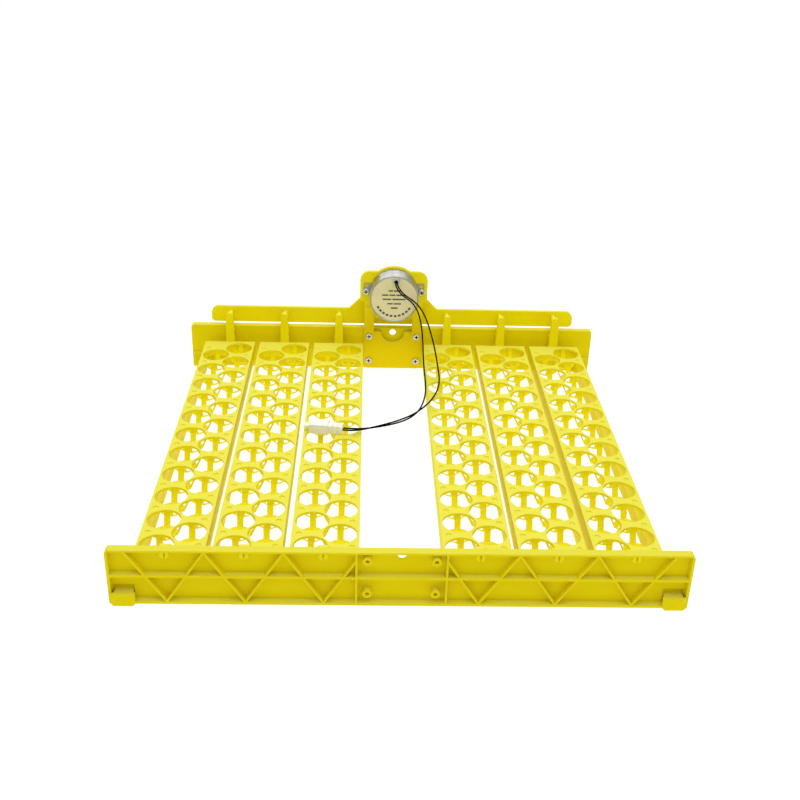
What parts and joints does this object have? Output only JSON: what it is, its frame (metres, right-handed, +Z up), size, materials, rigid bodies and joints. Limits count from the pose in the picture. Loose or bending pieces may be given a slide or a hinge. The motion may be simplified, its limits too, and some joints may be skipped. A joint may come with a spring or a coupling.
{
  "type": "egg turning tray",
  "caption": "Motor-driven egg-turning tray: tilting rows of small open cups hung between two ribbed end plates, joined by a push bar and a crank.",
  "frame": {"origin": "centre of the footprint on the surface the tray stands on, worked out without the two wires and their connector", "axes": "+Z up, +Y along the rows towards the motor, +X across the rows, to the right as the motor's face is looked at"},
  "size_m": [0.426, 0.4274, 0.1166],
  "materials": {
    "plate_plastic": "moulded, satin",
    "row_plastic": "moulded, satin",
    "can_steel": "drawn, plated",
    "label": "matte",
    "white_nylon": "moulded",
    "clear_nylon": "moulded, milky",
    "copper_wire": "enamelled",
    "magnet": "sintered",
    "screw_steel": "zinc plated",
    "black_sleeve": "satin",
    "contact_brass": "tinned"
  },
  "bodies": {
    "frame": {"front_end_plate": "plate_plastic", "rear_end_plate": "plate_plastic", "side_rail_left": "plate_plastic", "side_rail_right": "plate_plastic", "motor_bracket": "plate_plastic", "motor_can": "can_steel", "motor_label": "label", "motor_base": "can_steel", "coil_bobbin": "white_nylon", "coil_winding": "copper_wire", "motor_axles": "can_steel", "bracket_screws": "screw_steel", "motor_screws": "screw_steel", "wire_grommet": "white_nylon", "wire_sleeve": "black_sleeve", "wire_1": "black_sleeve", "wire_2": "black_sleeve"},
    "row_1": {"egg_row_1": "row_plastic"},
    "row_2": {"egg_row_2": "row_plastic"},
    "row_3": {"egg_row_3": "row_plastic", "connector_housing": "clear_nylon", "connector_contacts": "contact_brass"},
    "row_4": {"egg_row_4": "row_plastic"},
    "row_5": {"egg_row_5": "row_plastic"},
    "row_6": {"egg_row_6": "row_plastic"},
    "push_bar": {"push_bar": "row_plastic"},
    "crank": {"crank_arm": "row_plastic", "crank_screw": "screw_steel", "output_shaft": "can_steel"},
    "idler": {"idler_gear": "white_nylon"},
    "rotor": {"motor_rotor": "magnet"}
  },
  "joints": [
    {"name": "row_1_tilt", "type": "hinge", "parent": "frame", "child": "row_1", "pos_m": [-0.171, 0, 0.04175], "axis": [0, 1, 0], "range_deg": [-45, 45]},
    {"name": "row_2_tilt", "type": "hinge", "parent": "frame", "child": "row_2", "pos_m": [-0.114, 0, 0.04175], "axis": [0, 1, 0], "range_deg": [-45, 45]},
    {"name": "row_3_tilt", "type": "hinge", "parent": "frame", "child": "row_3", "pos_m": [-0.057, 0, 0.04175], "axis": [0, 1, 0], "range_deg": [-45, 45], "deforming": ["wire_1", "wire_2"]},
    {"name": "row_4_tilt", "type": "hinge", "parent": "frame", "child": "row_4", "pos_m": [0.057, 0, 0.04175], "axis": [0, 1, 0], "range_deg": [-45, 45]},
    {"name": "row_5_tilt", "type": "hinge", "parent": "frame", "child": "row_5", "pos_m": [0.114, 0, 0.04175], "axis": [0, 1, 0], "range_deg": [-45, 45]},
    {"name": "row_6_tilt", "type": "hinge", "parent": "frame", "child": "row_6", "pos_m": [0.171, 0, 0.04175], "axis": [0, 1, 0], "range_deg": [-45, 45]},
    {"name": "push_bar_pivot", "type": "hinge", "parent": "row_3", "child": "push_bar", "pos_m": [-0.057, 0.20965, 0.059], "axis": [0, 1, 0], "range_deg": [-45, 45]},
    {"name": "crank_turn", "type": "hinge", "parent": "frame", "child": "crank", "pos_m": [0, 0.19935, 0.0896], "axis": [0, 1, 0], "range_deg": [-90, 90]},
    {"name": "idler_turn", "type": "hinge", "parent": "frame", "child": "idler", "pos_m": [-0.015, 0.19135, 0.0896], "axis": [0, 1, 0], "range_deg": [-280, 280]},
    {"name": "rotor_spin", "type": "hinge", "parent": "frame", "child": "rotor", "pos_m": [0, 0.18135, 0.0896], "axis": [0, 1, 0], "continuous": true}
  ],
  "couplings": [
    {"joint": "row_1_tilt", "follows": "row_3_tilt", "ratio": 1},
    {"joint": "row_2_tilt", "follows": "row_3_tilt", "ratio": 1},
    {"joint": "row_4_tilt", "follows": "row_3_tilt", "ratio": 1},
    {"joint": "row_5_tilt", "follows": "row_3_tilt", "ratio": 1},
    {"joint": "row_6_tilt", "follows": "row_3_tilt", "ratio": 1},
    {"joint": "push_bar_pivot", "follows": "row_3_tilt", "ratio": -1},
    {"joint": "crank_turn", "follows": "row_3_tilt", "ratio": 2},
    {"joint": "idler_turn", "follows": "row_3_tilt", "ratio": -6.1333}
  ]
}
